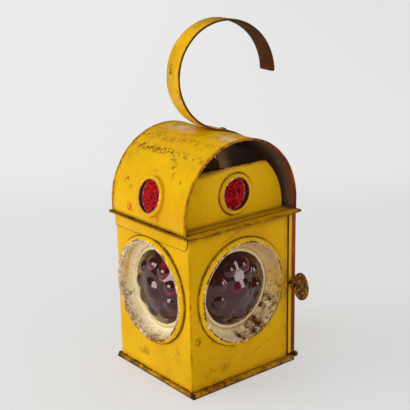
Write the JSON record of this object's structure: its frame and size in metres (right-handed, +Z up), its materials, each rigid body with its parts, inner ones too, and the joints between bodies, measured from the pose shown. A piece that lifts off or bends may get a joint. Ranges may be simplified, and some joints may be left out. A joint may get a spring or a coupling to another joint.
{
  "type": "road works warning lamp",
  "caption": "Square yellow sheet-metal paraffin hazard lamp with three bull's-eye lenses of ruby glass, a barrel hood, rear door and strip-steel hook.",
  "frame": {"origin": "on the floor under the middle of the square body, in the underside of the base plate", "axes": "+Z up, -Y out of the front lens, +Y out of the rear door, +X out of the side that carries the door latch"},
  "size_m": [0.1605, 0.1632, 0.3708],
  "materials": {
    "base_paint": "worn ochre paint, rust showing at the fold and corners",
    "body_paint": "bright road yellow gloss, chipped to brown steel at the folds",
    "frame_paint": "dull yellow-brown inside paint",
    "skirt_paint": "bright yellow, rust along the lower edge",
    "ledge_paint": "worn ochre with rusted, chipped edge",
    "hood_paint": "bright yellow, chips and rubbed pale patches on the crown, rusted rims",
    "panel_paint": "yellow over orange-red primer that shows at the top edge",
    "hook_paint": "yellow on the outside of the strap, bare brown rust inside",
    "bezel_enamel": "cream paint with rust specks, yellow overspray on the outer slope",
    "ring_paint": "silvery mottled paint over yellow",
    "door_paint": "yellow, with a red-primer strip on the rolled edge",
    "ruby_glass": "deep ruby pressed glass",
    "reflector_glass": "moulded red reflector glass, silvered behind",
    "rusty_steel": "brown rust with flecks of old yellow paint",
    "dark_steel": "dark brown oxidised steel",
    "cord_gasket": "woven glass cord",
    "tinplate": "dull tinned steel",
    "burner_brass": "aged brass, brown in the recesses",
    "cork": "pressed cork washer",
    "cotton_wick": "woven flat cotton, charred at the top"
  },
  "bodies": {
    "lamp": {"base_tray": "base_paint", "body_shell": "body_paint", "rear_frame": "frame_paint", "front_skirt": "skirt_paint", "seam_ledge": "ledge_paint", "hood_shell": "hood_paint", "end_panel_right": "panel_paint", "end_panel_left": "panel_paint", "chimney_tube": "rusty_steel", "heat_baffle": "rusty_steel", "hook_strap": "hook_paint", "hook_backing": "dark_steel", "hook_rivets": "rusty_steel", "bezel_front": "bezel_enamel", "bezel_right": "bezel_enamel", "bezel_left": "bezel_enamel", "lens_front": "ruby_glass", "lens_right": "ruby_glass", "lens_left": "ruby_glass", "gasket_front": "cord_gasket", "gasket_right": "cord_gasket", "gasket_left": "cord_gasket", "retainer_front": "rusty_steel", "retainer_right": "rusty_steel", "retainer_left": "rusty_steel", "reflector_ring_front": "ring_paint", "reflector_ring_right": "ring_paint", "reflector_ring_left": "ring_paint", "reflector_glass_front": "reflector_glass", "reflector_glass_right": "reflector_glass", "reflector_glass_left": "reflector_glass", "reflector_backs": "tinplate", "hinge_leaves_body": "dark_steel", "hinge_pins": "rusty_steel", "hinge_rivets": "rusty_steel", "fount_clips": "tinplate", "fount_tank": "tinplate", "fount_pull": "tinplate", "burner_collar": "burner_brass", "burner_cup": "burner_brass", "burner_cone": "burner_brass", "wick_tube": "burner_brass"},
    "door": {"door_pan": "door_paint", "door_edge_wire": "dark_steel", "door_wind_baffle": "frame_paint", "hinge_leaves_door": "dark_steel"},
    "latch": {"latch_wing": "rusty_steel", "latch_cam": "dark_steel", "latch_nut": "dark_steel"},
    "winder": {"winder_spindle": "tinplate", "winder_wheels": "burner_brass", "winder_knob": "burner_brass"},
    "wick": {"wick": "cotton_wick"},
    "filler_cap_body": {"filler_cap": "burner_brass"},
    "filler_lift_body": {"filler_washer": "cork"}
  },
  "joints": [
    {"name": "door_hinge", "type": "hinge", "parent": "lamp", "child": "door", "pos_m": [-0.0661, 0.0671, 0.087], "axis": [0, 0, 1], "range_deg": [0, 110]},
    {"name": "latch_turn", "type": "hinge", "parent": "door", "child": "latch", "pos_m": [0.0635, 0.0714, 0.09], "axis": [1, 0, 0], "range_deg": [0, 90]},
    {"name": "winder_turn", "type": "hinge", "parent": "lamp", "child": "winder", "pos_m": [0.0048, 0, 0.065], "axis": [0, 1, 0], "range_deg": [-100, 100]},
    {"name": "wick_slide", "type": "slide", "parent": "lamp", "child": "wick", "axis": [0, 0, 1], "range_m": [-0.006, 0.006]},
    {"name": "filler_turn", "type": "hinge", "parent": "filler_lift_body", "child": "filler_cap_body", "pos_m": [0, -0.025, 0.054], "axis": [0, 0, 1], "range_deg": [0, 720]},
    {"name": "filler_lift", "type": "slide", "parent": "lamp", "child": "filler_lift_body", "axis": [0, 0, 1], "range_m": [0, 0.0041]}
  ],
  "couplings": [
    {"joint": "wick_slide", "follows": "winder_turn", "m_per_rad": 0.0032},
    {"joint": "filler_lift", "follows": "filler_turn", "m_per_rad": 0.00031831}
  ]
}
